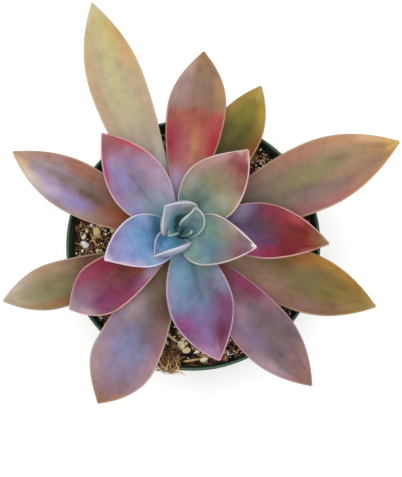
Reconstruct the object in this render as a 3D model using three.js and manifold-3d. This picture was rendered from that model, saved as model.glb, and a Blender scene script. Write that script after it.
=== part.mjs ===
// A rosette succulent in a round nursery pot: pot, potting mix, stem, large leaves and a bud of small ones.
// Millimetres, +Z up. The origin is the centre of the pot's flat base.
import * as THREE from "three";
import { mergeVertices } from "three/addons/utils/BufferGeometryUtils.js";
import Module from "manifold-3d";

const wasm = await Module();
wasm.setup();

// Pot: a tapered wall from the base to the shoulder, and above the shoulder a wider band that ends in the rim
const POT_HEIGHT = 90;
const RIM_RADIUS = 54;
const RIM_BAND = 9;
const RIM_LIP = 1.6;
const RIM_ROUNDING = 0.8;
const BAND_DRAFT = 0.4;
const BAND_STEP = 1.3;
const WALL = 1.2;
const SHOULDER_RADIUS = 51.6;
const BASE_RADIUS = 38;
const BASE_ROUNDING = 2.5;
const BASE_THICKNESS = 1.6;
const DRAIN_HOLES = 8;
const DRAIN_HOLE_RADIUS = 3.6;
const DRAIN_HOLE_SEGMENTS = 16;
const DRAIN_CIRCLE_RADIUS = 27;
const POT_SEGMENTS = 56;

// Free space between pieces, and what the corners of a many-sided wall take from it
const GAP = 0.3;
const FACET_ALLOWANCE = 0.35;

// Potting mix: a lumpy top with a low mound round the stem, and loose pieces half sunk in it. Its edge
// lies on the sloped step that widens the pot's inner wall below the rim.
const MIX_HEIGHT = 80;
const MIX_EDGE_RISE = 1;
const MIX_WAVE = 0.45;
const MIX_MOUND = 1;
const MIX_MOUND_RADIUS = 20;
const MIX_RINGS = 13;
const MIX_SEGMENTS = 44;
const LUMP_FROM_AXIS = 14;
const LUMP_FROM_WALL = 5;
const LUMP_TILT = 0.5;
const PERLITE_LUMPS = 40;
const PERLITE_RADIUS = 1.1;
const PERLITE_EXTRA = 1.5;
const PERLITE_SINK = 0.1;
const BARK_CHIPS = 30;
const BARK_LENGTH = 3.5;
const BARK_EXTRA = 5;
const BARK_WIDTH = 1.2;
const BARK_THICKNESS = 1.3;
const SEED = 20;

// Stem, which stands off the pot's axis; radius at each height, from the root's end to the growing tip
const STEM_X = -4.2;
const STEM_Y = 2.1;
const STEM_ROOT_HEIGHT = 64;
const STEM_PROFILE = [
  { radius: 3.2, height: STEM_ROOT_HEIGHT },
  { radius: 6.0, height: 76 },
  { radius: 5.8, height: 96 },
  { radius: 4.8, height: 103 },
  { radius: 3.4, height: 108 },
  { radius: 1.6, height: 111.4 },
];
const STEM_TOP = 112;
const STEM_SEGMENTS = 20;

// Leaves. Each grows from its own height on the stem, and the spacing closes up towards the growing tip.
const FIRST_NODE_HEIGHT = 84.5;
const NODE_SPACING = 1.5;
const NODE_CLOSING = 0.008;
const LEAF_SUNK = 0.8;
const LEAF_EDGE = 0.7;
const LEAF_TIP_WIDTH = 0.6;
const LEAF_STEPS = 12;
const LEAF_STRIPS = 6;

// Values of a leaf, in degrees and millimetres, with shares of its length or width from 0 to 1:
// azimuth, where the tip points, anticlockwise from +X
// reach, the tip's distance from the stem's axis
// tip, the tip's height above the pot's base
// width and widest, the full width and the share of the length where it is reached
// lift and level, the climb of the midrib at the root and at the tip
// turn and sweep, the midrib's sideways bend at the root and at the tip
// base, the root's share of the width
// swell, how slowly the leaf widens from its root, and point, how bluntly it closes at its tip
// cup and cupTip, half the angle of the trough across the leaf at the root and at the tip
// thick, the greatest thickness
// roll, the turn about the midrib at the tip
const USUAL = {
  lift: 30, level: 5, turn: 0, sweep: 0, widest: 0.62, base: 0.34, swell: 1.5,
  cup: 35, cupTip: 15, thick: 4.5, roll: 0, point: 2,
};
const LEAVES = [
  {
    azimuth: 61.5, reach: 70, tip: 105, width: 20.5, colour: 0x6f7142,
    level: 8, sweep: 3, widest: 0.66, base: 0.55,
  },
  {
    azimuth: 201, reach: 78, tip: 104, width: 19, colour: 0x9a9070,
    lift: 25, turn: 10, sweep: -4, widest: 0.7,
  },
  {
    azimuth: 338.5, reach: 84.5, tip: 106, width: 24.5, colour: 0x9c8a62,
    lift: 28, turn: -2, sweep: 3,
  },
  {
    azimuth: 111, reach: 103, tip: 112, width: 23, colour: 0xb5ab86,
    lift: 28, turn: 6, sweep: -6, widest: 0.64,
  },
  {
    azimuth: 245, reach: 76.5, tip: 110, width: 26.5, colour: 0x9a7f86,
    sweep: -8, widest: 0.72, base: 0.3,
  },
  {
    azimuth: 21, reach: 94.5, tip: 118, width: 28, colour: 0xa88a72,
    lift: 26, level: 12, sweep: -2, cup: 28,
  },
  {
    azimuth: 154.5, reach: 76, tip: 112, width: 21.5, colour: 0x9d8284,
    lift: 32, turn: 8, sweep: -6, widest: 0.59,
  },
  {
    azimuth: 310, reach: 81.5, tip: 108, width: 23, colour: 0x937487,
    lift: 32, level: 0, turn: -4, sweep: 1, widest: 0.64,
  },
  {
    azimuth: 82.5, reach: 75, tip: 112, width: 24, colour: 0xa8625f,
    lift: 36, level: 8, turn: 3, sweep: 3, widest: 0.66, base: 0.22,
  },
  {
    azimuth: 216, reach: 54.5, tip: 112, width: 22, colour: 0x8c4767,
    lift: 38, level: 8, turn: 1, sweep: -5, widest: 0.7,
  },
  {
    azimuth: 353.5, reach: 60, tip: 116, width: 22.5, colour: 0x8e4350,
    lift: 42, level: 6, turn: 14, sweep: -8, widest: 0.56, base: 0.3, point: 1.75,
  },
  {
    azimuth: 129, reach: 49.5, tip: 118, width: 24, colour: 0x9a7c98,
    lift: 42, level: 12, turn: 9.5, sweep: 0, widest: 0.5, base: 0.3, swell: 1.2, point: 1.85,
  },
  {
    azimuth: 287, reach: 55, tip: 112, width: 26, colour: 0x7f6f97,
    lift: 42, level: 0, turn: 1, sweep: 5, widest: 0.56, base: 0.3, swell: 1.2, point: 1.85,
  },
  {
    azimuth: 47.5, reach: 41, tip: 122, width: 25, colour: 0x7c8579,
    lift: 42, level: 18, turn: 10, sweep: 6, widest: 0.48, base: 0.3, swell: 1.2, point: 1.8,
  },
  {
    azimuth: 204.5, reach: 32, tip: 120, width: 22.5, colour: 0x7d8fb4,
    lift: 48, level: 15, turn: -5, sweep: 10, widest: 0.44, base: 0.46, swell: 0.8, point: 1.75,
  },
  {
    azimuth: 344, reach: 32, tip: 122, width: 21.5, colour: 0x7f9494,
    lift: 61, level: 15, turn: -15, sweep: 8, widest: 0.42, swell: 0.8, point: 1.6,
  },
];
const BUD_LEAVES = [
  {
    azimuth: 124, reach: 8.2, tip: 126, width: 20, colour: 0x5f7f86,
    lift: 66, level: 62, turn: -28, sweep: 30, widest: 0.6, base: 0.22,
    swell: 1.15, cup: 64, cupTip: 50, thick: 2.6, roll: 8,
  },
  {
    azimuth: 232, reach: 15.2, tip: 122, width: 14.5, colour: 0x5f86a8,
    lift: 60, level: 35, turn: 22, sweep: -36, widest: 0.38, base: 0.4,
    swell: 0.8, cup: 54, cupTip: 50, thick: 2.6, roll: 52,
  },
  {
    azimuth: 39, reach: 9.2, tip: 127, width: 9.6, colour: 0x6f8a8c,
    lift: 75, level: 62, turn: -50, sweep: 60, widest: 0.55,
    swell: 0.8, cup: 60, cupTip: 40, thick: 2.2, roll: 62,
  },
  {
    azimuth: 228, reach: 5, tip: 121, width: 4, colour: 0x66888f,
    lift: 84, level: 65, turn: -20, widest: 0.55, base: 0.28,
    swell: 1.2, cup: 60, cupTip: 40, thick: 1.4, roll: 40,
  },
  {
    azimuth: 332, reach: 5.8, tip: 122, width: 3.4, colour: 0x6f9080,
    lift: 68, level: 70, turn: -36, widest: 0.55, base: 0.28, swell: 1.2, cup: 50, cupTip: 30, thick: 1.4,
  },
];

// Solids: a closed three.js geometry becomes a manifold-3d solid and back.
function toSolid(geometry) {
  const bare = new THREE.BufferGeometry();
  bare.setAttribute("position", geometry.getAttribute("position"));
  bare.setIndex(geometry.getIndex());
  const merged = mergeVertices(bare, 1e-4);
  return new wasm.Manifold(
    new wasm.Mesh({
      numProp: 3,
      vertProperties: new Float32Array(merged.attributes.position.array),
      triVerts: new Uint32Array(merged.index.array),
    }),
  );
}

function toGeometry(solid) {
  const mesh = solid.getMesh();
  const geometry = new THREE.BufferGeometry();
  geometry.setAttribute("position", new THREE.BufferAttribute(mesh.vertProperties, 3));
  geometry.setIndex(new THREE.BufferAttribute(mesh.triVerts, 1));
  return geometry;
}

function makeMesh(name, geometry, colour, roughness) {
  const flat = geometry.toNonIndexed();
  flat.computeVertexNormals();
  const material = new THREE.MeshStandardMaterial({ color: colour, roughness, metalness: 0 });
  const mesh = new THREE.Mesh(flat, material);
  mesh.name = name;
  return mesh;
}

// A solid of revolution about +Z from [radius, height] points that start and end on the axis
function revolve(points, segments) {
  const outline = points.map(([radius, height]) => new THREE.Vector2(radius, height));
  return new THREE.LatheGeometry(outline, segments).rotateX(Math.PI / 2);
}

function bearing(azimuth, climb) {
  const a = THREE.MathUtils.degToRad(azimuth);
  const c = THREE.MathUtils.degToRad(climb);
  return new THREE.Vector3(Math.cos(a) * Math.cos(c), Math.sin(a) * Math.cos(c), Math.sin(c));
}

// A seeded generator, so that the loose mix is the same every time.
function makeRandom(seed) {
  let state = seed;
  return () => {
    state = (state * 1664525 + 1013904223) % 4294967296;
    return state / 4294967296;
  };
}

// Inner radius of the pot's wall at a height
function innerRadius(height) {
  const bandFoot = POT_HEIGHT - RIM_BAND;
  if (height >= bandFoot) {
    return RIM_RADIUS - RIM_LIP;
  }
  const share = height / bandFoot;
  return BASE_RADIUS + (SHOULDER_RADIUS - BASE_RADIUS) * share - WALL;
}

// Inner radius at a height on the sloped step between the tapered wall and the band
function stepRadius(height) {
  const foot = POT_HEIGHT - RIM_BAND - BAND_STEP;
  const low = SHOULDER_RADIUS - WALL;
  const high = RIM_RADIUS - RIM_LIP - BAND_DRAFT / 2;
  return THREE.MathUtils.mapLinear(height, foot, foot + 2 * BAND_STEP, low, high);
}

// Height of the mix's top: a low mound round the stem, and gentle lumps made of a few waves
function mixTop(x, y) {
  const fromStem = Math.hypot(x - STEM_X, y - STEM_Y);
  const mound = MIX_MOUND * Math.exp(-((fromStem / MIX_MOUND_RADIUS) ** 2));
  const waves =
    Math.sin(0.21 * x + 0.13 * y + 1) +
    Math.sin(0.17 * y - 0.26 * x + 2.3) +
    0.7 * Math.sin(0.47 * x + 0.2) * Math.sin(0.43 * y + 1.7);
  return MIX_HEIGHT + mound + MIX_WAVE * waves;
}

function makePot() {
  const bandFoot = POT_HEIGHT - RIM_BAND;
  const bandInner = RIM_RADIUS - RIM_LIP;
  const outline = [
    [0, 0],
    [BASE_RADIUS - BASE_ROUNDING, 0],
    [BASE_RADIUS, BASE_ROUNDING],
    [SHOULDER_RADIUS, bandFoot],
    [RIM_RADIUS - BAND_DRAFT, bandFoot],
    [RIM_RADIUS, POT_HEIGHT - RIM_ROUNDING],
    [RIM_RADIUS - RIM_ROUNDING / 2, POT_HEIGHT],
    [bandInner + RIM_ROUNDING / 2, POT_HEIGHT],
    [bandInner, POT_HEIGHT - RIM_ROUNDING],
    [bandInner - BAND_DRAFT / 2, bandFoot + BAND_STEP],
    [SHOULDER_RADIUS - WALL, bandFoot - BAND_STEP],
    [BASE_RADIUS - WALL, BASE_THICKNESS],
    [0, BASE_THICKNESS],
  ];
  let pot = toSolid(revolve(outline, POT_SEGMENTS));
  const drill = new THREE.CylinderGeometry(
    DRAIN_HOLE_RADIUS,
    DRAIN_HOLE_RADIUS,
    4 * BASE_THICKNESS,
    DRAIN_HOLE_SEGMENTS,
  );
  drill.rotateX(Math.PI / 2);
  for (let i = 0; i < DRAIN_HOLES; i++) {
    const place = bearing((360 * i) / DRAIN_HOLES, 0).multiplyScalar(DRAIN_CIRCLE_RADIUS);
    pot = pot.subtract(toSolid(drill.clone().translate(place.x, place.y, 0)));
  }
  return toGeometry(pot);
}

// The stem's solid, or with a clearance the space that it needs
function makeStem(clearance) {
  const outline = [[0, STEM_ROOT_HEIGHT - clearance]];
  for (const { radius, height } of STEM_PROFILE) {
    outline.push([radius + clearance, height]);
  }
  outline[1][1] -= clearance;
  outline.push([0, STEM_TOP + 2 * clearance]);
  return toSolid(revolve(outline, STEM_SEGMENTS).translate(STEM_X, STEM_Y, 0));
}

// The mix's body: a polar grid for its top, and a plain wall and bottom that stand off the pot
function makeMixBody() {
  const standOff = GAP + FACET_ALLOWANCE;
  const edgeHeight = MIX_HEIGHT + MIX_EDGE_RISE;
  const edgeRadius = stepRadius(edgeHeight) - standOff;
  const wallTop = POT_HEIGHT - RIM_BAND - BAND_STEP;
  const wall = [
    [SHOULDER_RADIUS - WALL - standOff, wallTop - GAP],
    [innerRadius(BASE_THICKNESS) - standOff, BASE_THICKNESS + GAP],
  ];
  const positions = [0, 0, mixTop(0, 0)];
  const index = [];
  for (let ring = 1; ring <= MIX_RINGS; ring++) {
    for (let k = 0; k < MIX_SEGMENTS; k++) {
      const place = bearing((360 * k) / MIX_SEGMENTS, 0).multiplyScalar((edgeRadius * ring) / MIX_RINGS);
      positions.push(place.x, place.y, ring === MIX_RINGS ? edgeHeight : mixTop(place.x, place.y));
    }
  }
  for (const [radius, height] of wall) {
    for (let k = 0; k < MIX_SEGMENTS; k++) {
      const place = bearing((360 * k) / MIX_SEGMENTS, 0).multiplyScalar(radius);
      positions.push(place.x, place.y, height);
    }
  }
  positions.push(0, 0, BASE_THICKNESS + GAP);
  const rings = MIX_RINGS + wall.length;
  const at = (ring, k) => 1 + (ring - 1) * MIX_SEGMENTS + (k % MIX_SEGMENTS);
  const bottom = positions.length / 3 - 1;
  for (let k = 0; k < MIX_SEGMENTS; k++) {
    index.push(0, at(1, k), at(1, k + 1));
    for (let ring = 1; ring < rings; ring++) {
      index.push(at(ring, k), at(ring + 1, k), at(ring + 1, k + 1));
      index.push(at(ring, k), at(ring + 1, k + 1), at(ring, k + 1));
    }
    index.push(at(rings, k), bottom, at(rings, k + 1));
  }
  const geometry = new THREE.BufferGeometry();
  geometry.setAttribute("position", new THREE.Float32BufferAttribute(positions, 3));
  geometry.setIndex(index);
  return toSolid(geometry);
}

// One loose piece, turned at random and half sunk in the mix, clear of the stem and the wall
function placeLump(geometry, sink, random) {
  const farthest = innerRadius(MIX_HEIGHT) - LUMP_FROM_WALL;
  const azimuth = 360 * random();
  const fromAxis = THREE.MathUtils.lerp(LUMP_FROM_AXIS, farthest, Math.sqrt(random()));
  const place = bearing(azimuth, 0).multiplyScalar(fromAxis);
  geometry.rotateZ(2 * Math.PI * random());
  geometry.rotateX(LUMP_TILT * (random() - 0.5));
  geometry.rotateY(LUMP_TILT * (random() - 0.5));
  geometry.translate(place.x, place.y, mixTop(place.x, place.y) - sink);
  return toSolid(geometry);
}

function makeMix() {
  const random = makeRandom(SEED);
  let mix = makeMixBody();
  for (let i = 0; i < PERLITE_LUMPS; i++) {
    const lump = new THREE.IcosahedronGeometry(PERLITE_RADIUS + PERLITE_EXTRA * random() ** 2, 0);
    lump.scale(1, 0.7 + 0.5 * random(), 0.75);
    mix = mix.add(placeLump(lump, PERLITE_SINK, random));
  }
  for (let i = 0; i < BARK_CHIPS; i++) {
    const length = BARK_LENGTH + BARK_EXTRA * random();
    const width = BARK_WIDTH * (1 + random());
    mix = mix.add(placeLump(new THREE.BoxGeometry(length, width, BARK_THICKNESS), 0, random));
  }
  return toGeometry(mix.subtract(makeStem(GAP)));
}

function stemRadius(height) {
  const upper = STEM_PROFILE.findIndex((point) => point.height > height);
  if (upper < 1) {
    return STEM_PROFILE[STEM_PROFILE.length - 1].radius;
  }
  const a = STEM_PROFILE[upper - 1];
  const b = STEM_PROFILE[upper];
  return THREE.MathUtils.mapLinear(height, a.height, b.height, a.radius, b.radius);
}

// The midrib: a cubic curve from inside the stem out to the tip
function makeMidrib(leaf, nodeHeight) {
  const centre = new THREE.Vector3(STEM_X, STEM_Y, 0);
  const rootRadius = Math.max(stemRadius(nodeHeight) - LEAF_SUNK, 0.4);
  const rootBearing = bearing(leaf.azimuth + leaf.turn, 0);
  const root = rootBearing.multiplyScalar(rootRadius).setZ(nodeHeight).add(centre);
  const tip = bearing(leaf.azimuth, 0).multiplyScalar(leaf.reach).setZ(leaf.tip).add(centre);
  const third = root.distanceTo(tip) / 3;
  const afterRoot = bearing(leaf.azimuth + leaf.turn, leaf.lift).multiplyScalar(third).add(root);
  const beforeTip = bearing(leaf.azimuth + leaf.sweep, leaf.level).multiplyScalar(-third).add(tip);
  return new THREE.CubicBezierCurve3(root, afterRoot, beforeTip, tip);
}

// Share of the full width at a share of the length, never narrower than the blunt tip
function leafOutline(leaf, along) {
  if (along < leaf.widest) {
    const rise = Math.sin(((along / leaf.widest) * Math.PI) / 2) ** leaf.swell;
    return THREE.MathUtils.lerp(leaf.base, 1, rise);
  }
  const closing = ((along - leaf.widest) / (1 - leaf.widest)) ** leaf.point;
  return Math.max(1 - closing, LEAF_TIP_WIDTH / leaf.width);
}

// Thickness at a share of the length, and across it from the midrib at 0 to either edge at 1.
// The midrib swells from the root to the middle of the leaf and thins over its last quarter.
function leafThickness(leaf, along, across) {
  const swelling = 0.62 + 0.38 * Math.sin(Math.PI * Math.min(1.1 * along, 1));
  const taper = Math.min(4 * (1 - along), 1) ** 0.6;
  const middle = Math.max(leaf.thick * swelling * taper, LEAF_EDGE);
  return THREE.MathUtils.lerp(LEAF_EDGE, middle, (1 - across * across) ** 0.75);
}

// One leaf as a closed loft: each ring runs across the troughed upper face and back under the keeled one
function makeLeafBlade(leaf, nodeHeight) {
  const midrib = makeMidrib(leaf, nodeHeight);
  const flatSide = bearing(leaf.azimuth + 90, 0);
  const positions = [];
  for (let i = 0; i <= LEAF_STEPS; i++) {
    const along = i / LEAF_STEPS;
    const centre = midrib.getPoint(along);
    const forward = midrib.getTangent(along);
    const side = flatSide.clone().addScaledVector(forward, -flatSide.dot(forward)).normalize();
    side.applyAxisAngle(forward, THREE.MathUtils.degToRad(leaf.roll * along));
    const up = forward.clone().cross(side);
    const half = (leaf.width / 2) * leafOutline(leaf, along);
    const trough = THREE.MathUtils.degToRad(THREE.MathUtils.lerp(leaf.cup, leaf.cupTip, along));
    const ring = [];
    for (let j = 0; j <= LEAF_STRIPS; j++) {
      const across = (2 * j) / LEAF_STRIPS - 1;
      const angle = trough * across;
      const upper = centre
        .clone()
        .addScaledVector(side, (half * Math.sin(angle)) / trough)
        .addScaledVector(up, (half * (1 - Math.cos(angle))) / trough);
      const depth = leafThickness(leaf, along, across);
      const lower = upper
        .clone()
        .addScaledVector(side, depth * Math.sin(angle))
        .addScaledVector(up, -depth * Math.cos(angle));
      ring.push({ upper, lower });
    }
    for (const { upper } of ring) {
      positions.push(...upper.toArray());
    }
    for (const { lower } of ring.reverse()) {
      positions.push(...lower.toArray());
    }
  }
  return loft(positions, 2 * (LEAF_STRIPS + 1));
}

// Joins rings of a size into a closed skin, with a strip of triangles over each end ring
function loft(positions, size) {
  const rings = positions.length / 3 / size;
  const index = [];
  for (let i = 0; i < rings - 1; i++) {
    for (let j = 0; j < size; j++) {
      const a = i * size + j;
      const b = i * size + ((j + 1) % size);
      index.push(a, a + size, b + size, a, b + size, b);
    }
  }
  const last = (rings - 1) * size;
  for (let j = 0; j < size / 2 - 1; j++) {
    const back = size - 1 - j;
    index.push(j, j + 1, back, j + 1, back - 1, back);
    index.push(last + j, last + back, last + j + 1, last + j + 1, last + back, last + back - 1);
  }
  const geometry = new THREE.BufferGeometry();
  geometry.setAttribute("position", new THREE.Float32BufferAttribute(positions, 3));
  geometry.setIndex(index);
  return geometry;
}

function makeLeaf(values, order, stemSpace) {
  const leaf = { ...USUAL, ...values };
  const nodeHeight = FIRST_NODE_HEIGHT + order * (NODE_SPACING - NODE_CLOSING * order);
  return toGeometry(toSolid(makeLeafBlade(leaf, nodeHeight)).subtract(stemSpace));
}

function makePlant() {
  const plant = new THREE.Group();
  const stemSpace = makeStem(GAP);
  plant.add(makeMesh("stem", toGeometry(makeStem(0)), 0x7d8a62, 0.7));
  LEAVES.forEach((values, i) => {
    const name = "leaf_" + String(i + 1).padStart(2, "0");
    plant.add(makeMesh(name, makeLeaf(values, i, stemSpace), values.colour, 0.55));
  });
  BUD_LEAVES.forEach((values, i) => {
    const name = "bud_leaf_" + (i + 1);
    plant.add(makeMesh(name, makeLeaf(values, LEAVES.length + i, stemSpace), values.colour, 0.55));
  });
  return plant;
}

const part = new THREE.Group();
part.add(makeMesh("pot", makePot(), 0x1f4a38, 0.45));
part.add(makeMesh("potting_mix", makeMix(), 0x35281f, 0.95));
part.add(makePlant());

export default part;
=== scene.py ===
"""Looks for a potted rosette succulent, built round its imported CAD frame.

Sizes in the tables are millimetres and degrees, as in the part's source; MM turns them into metres.
"""

import functools
from math import cos, exp, hypot, pi, radians, sin, sqrt
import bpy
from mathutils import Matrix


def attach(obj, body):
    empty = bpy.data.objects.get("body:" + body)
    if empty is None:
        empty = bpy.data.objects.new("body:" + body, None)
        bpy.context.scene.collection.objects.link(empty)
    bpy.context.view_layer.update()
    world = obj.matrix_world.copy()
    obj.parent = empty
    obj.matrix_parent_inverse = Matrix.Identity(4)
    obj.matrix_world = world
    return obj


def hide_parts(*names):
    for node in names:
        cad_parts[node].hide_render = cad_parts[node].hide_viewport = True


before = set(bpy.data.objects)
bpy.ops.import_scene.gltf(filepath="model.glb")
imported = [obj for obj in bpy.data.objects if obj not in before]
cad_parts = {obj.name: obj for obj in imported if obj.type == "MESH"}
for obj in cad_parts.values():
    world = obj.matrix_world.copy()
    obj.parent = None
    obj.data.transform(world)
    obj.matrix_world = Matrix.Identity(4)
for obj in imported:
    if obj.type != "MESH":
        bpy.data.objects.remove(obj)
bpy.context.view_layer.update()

from types import SimpleNamespace

import bmesh
import bpy
import numpy as np
from mathutils import Matrix, Vector, noise

MM = 0.001

# Pot
POT_HEIGHT = 90
RIM_RADIUS = 54
RIM_BAND = 9
RIM_LIP = 1.6
RIM_ROUNDING = 0.8
BAND_DRAFT = 0.4
BAND_STEP = 1.3
BAND_CHAMFER = 0.3
WALL = 1.2
SHOULDER_RADIUS = 51.6
BASE_RADIUS = 38
BASE_ROUNDING = 2.5
BASE_THICKNESS = 1.6
BASE_FILLET = 1
DRAIN_HOLES = 8
DRAIN_HOLE_RADIUS = 3.6
DRAIN_CIRCLE_RADIUS = 27
BAND_FOOT = POT_HEIGHT - RIM_BAND
RIM_INSIDE = RIM_RADIUS - RIM_LIP
SHOULDER_INSIDE = SHOULDER_RADIUS - WALL
POT_SEGMENTS = 144
DRILL_SEGMENTS = 32
DRILL_REACH = 5
SHARP_ANGLE = 40

# Potting mix, as in the part's source
GAP = 0.3
MIX_HEIGHT = 80
MIX_EDGE_RISE = 1
MIX_WAVE = 0.45
MIX_MOUND = 1
MIX_MOUND_RADIUS = 20
LUMP_FROM_AXIS = 14
LUMP_FROM_WALL = 5
LUMP_TILT = 0.5
PERLITE_LUMPS = 40
PERLITE_RADIUS = 1.1
PERLITE_EXTRA = 1.5
PERLITE_SINK = 0.1
BARK_CHIPS = 30
BARK_LENGTH = 3.5
BARK_EXTRA = 5
BARK_WIDTH = 1.2
BARK_THICKNESS = 1.3
SEED = 20

# Potting mix, what only the scene has. A pair in brackets is the least and the most of a size.
MIX_SEAT = 0.05
MIX_BANK = 1
BANK_WIDTH = 3.5
EDGE_HEIGHT = MIX_HEIGHT + MIX_EDGE_RISE + MIX_BANK
MIX_RINGS, MIX_SEGMENTS = 100, 420
PEAT_TONE = 0.3
LUMP_CUTS = 10
FINE, COARSE = 3, 2
KINDS, SHOWN_KIND = 40, 50
SCATTER_FROM_WALL = 0.9
SMALL_PERLITE = 1000
SMALL_PERLITE_RADII = (0.22, 0.7)
SMALL_PERLITE_LIFTS = (0.1, 0.7)
CRUMBS = 2100
CRUMB_RADII = (0.4, 1.3)
CRUMB_LIFTS = (-0.3, 0.6)
CRUMB_TILTS = (-0.4, 0.4)
FIBRES = 900
FIBRE_LENGTHS = (1.5, 5.5)
FIBRE_WIDTHS = (0.2, 0.7)
FIBRE_DEPTHS = (0.2, 0.45)
FIBRE_CURLS = (0.1, 1.9)
FIBRE_LIFTS = (0.2, 0.9)
FIBRE_TILTS = (-0.3, 0.3)
TURNS = (0, 6.3)
SHOWN_SCALE, SHOWN_LIFT = 0.58, 0.25
CHIP_DEPTH, WIDEST_CHIP, CHIP_LIFT = 0.7, 1.6, 0.6
# Painted light across the loose pieces: golden where light falls in at the left and the front, grey towards
# the back right.
GREY_FROM, GREY_REACH, GREY_LOSS = 15, 35, 0.8

# Loose roots over the rim: for each handle of their curve the radii, the heights and the spread in degrees
ROOTS = 40
ROOTS_AZIMUTH = 258
ROOTS_SPREAD = 4.5
ROOT_RADII = (0.12, 0.26)
ROOT_WAY = [((43, 50), (81, 82), 6), ((47.5, 51), (93, 94.6), 8),
            ((54.5, 56.4), (93, 94.8), 9), ((54.5, 56.6), (85.5, 90.2), 6)]

# Stem: radius at each height
STEM_X, STEM_Y = -4.2, 2.1
STEM_PROFILE = [(3.2, 64), (6.0, 76), (5.8, 96), (4.8, 103), (3.4, 108), (1.6, 111.4)]
STEM_TOP = 112
STEM_STEPS, STEM_SEGMENTS = 6, 48

# Leaves
FIRST_NODE_HEIGHT = 84.5
NODE_SPACING = 1.5
NODE_CLOSING = 0.008
LEAF_SUNK = 0.8
LEAF_EDGE = 0.7
LEAF_TIP_WIDTH = 0.6
LEAF_STEPS = 52
LEAF_STRIPS = 18
TIP_CROWDING = 1.25
EDGE_BULGE = 0.32
DIMPLE = 0.22
CHANNEL = 0.35
CHANNEL_WIDTH = 0.2


def shape(azimuth, reach, tip, width, lift=30, level=5, turn=0, sweep=0, widest=0.62, base=0.34, swell=1.5,
          cup=35, cupTip=15, thick=4.5, roll=0, point=2):
    """A leaf's shape, as in the part's source: see the meaning of each value there."""
    return SimpleNamespace(**locals())


SHAPES = dict(
    leaf_01=shape(61.5, 70, 105, 20.5, level=8, sweep=3, widest=0.66, base=0.55),
    leaf_02=shape(201, 78, 104, 19, lift=25, turn=10, sweep=-4, widest=0.7),
    leaf_03=shape(338.5, 84.5, 106, 24.5, lift=28, turn=-2, sweep=3),
    leaf_04=shape(111, 103, 112, 23, lift=28, turn=6, sweep=-6, widest=0.64),
    leaf_05=shape(245, 76.5, 110, 26.5, sweep=-8, widest=0.72, base=0.3),
    leaf_06=shape(21, 94.5, 118, 28, lift=26, level=12, sweep=-2, cup=28),
    leaf_07=shape(154.5, 76, 112, 21.5, lift=32, turn=8, sweep=-6, widest=0.59),
    leaf_08=shape(310, 81.5, 108, 23, lift=32, level=0, turn=-4, sweep=1, widest=0.64),
    leaf_09=shape(82.5, 75, 112, 24, lift=36, level=8, turn=3, sweep=3, widest=0.66, base=0.22),
    leaf_10=shape(216, 54.5, 112, 22, lift=38, level=8, turn=1, sweep=-5, widest=0.7),
    leaf_11=shape(353.5, 60, 116, 22.5, lift=42, level=6, turn=14, sweep=-8, widest=0.56, base=0.3,
                  point=1.75),
    leaf_12=shape(129, 49.5, 118, 24, lift=42, level=12, turn=9.5, sweep=0, widest=0.5, base=0.3, swell=1.2,
                  point=1.85),
    leaf_13=shape(287, 55, 112, 26, lift=42, level=0, turn=1, sweep=5, widest=0.56, base=0.3, swell=1.2,
                  point=1.85),
    leaf_14=shape(47.5, 41, 122, 25, lift=42, level=18, turn=10, sweep=6, widest=0.48, base=0.3, swell=1.2,
                  point=1.8),
    leaf_15=shape(204.5, 32, 120, 22.5, lift=48, level=15, turn=-5, sweep=10, widest=0.44, base=0.46,
                  swell=0.8, point=1.75),
    leaf_16=shape(344, 32, 122, 21.5, lift=61, level=15, turn=-15, sweep=8, widest=0.42, swell=0.8,
                  point=1.6),
    bud_leaf_1=shape(124, 8.2, 126, 20, lift=66, level=62, turn=-28, sweep=30, widest=0.6, base=0.22,
                     swell=1.15, cup=64, cupTip=50, thick=2.6, roll=8),
    bud_leaf_2=shape(232, 15.2, 122, 14.5, lift=60, level=35, turn=22, sweep=-36, widest=0.38, base=0.4,
                     swell=0.8, cup=54, cupTip=50, thick=2.6, roll=52),
    bud_leaf_3=shape(39, 9.2, 127, 9.6, lift=75, level=62, turn=-50, sweep=60, widest=0.55, swell=0.8,
                     cup=60, cupTip=40, thick=2.2, roll=62),
    bud_leaf_4=shape(228, 5, 121, 4, lift=84, level=65, turn=-20, widest=0.55, base=0.28, swell=1.2, cup=60,
                     cupTip=40, thick=1.4, roll=40),
    bud_leaf_5=shape(332, 5.8, 122, 3.4, lift=68, level=70, turn=-36, widest=0.55, base=0.28, swell=1.2,
                     cup=50, cupTip=30, thick=1.4),
)

# Some ramp stops and blushes below are painted light or painted shade; a comment above each says which.
LOOKS = {}


def look(name, **values):
    """Notes a leaf's colours, with places and strengths in percent.

    "margin" is the pale edge: its colour, its width in millimetres and its strength from 0 to 1. "along" is a
    ramp from the root at 0 to the tip at 100. A blush is a soft patch: its place along the leaf, its place
    across from -100 to 100 (100 is the left edge for someone who looks out from the stem), its half length,
    its half width, its colour and its strength. "back" is the colour of the underside.
    """
    LOOKS[name] = values


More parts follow.
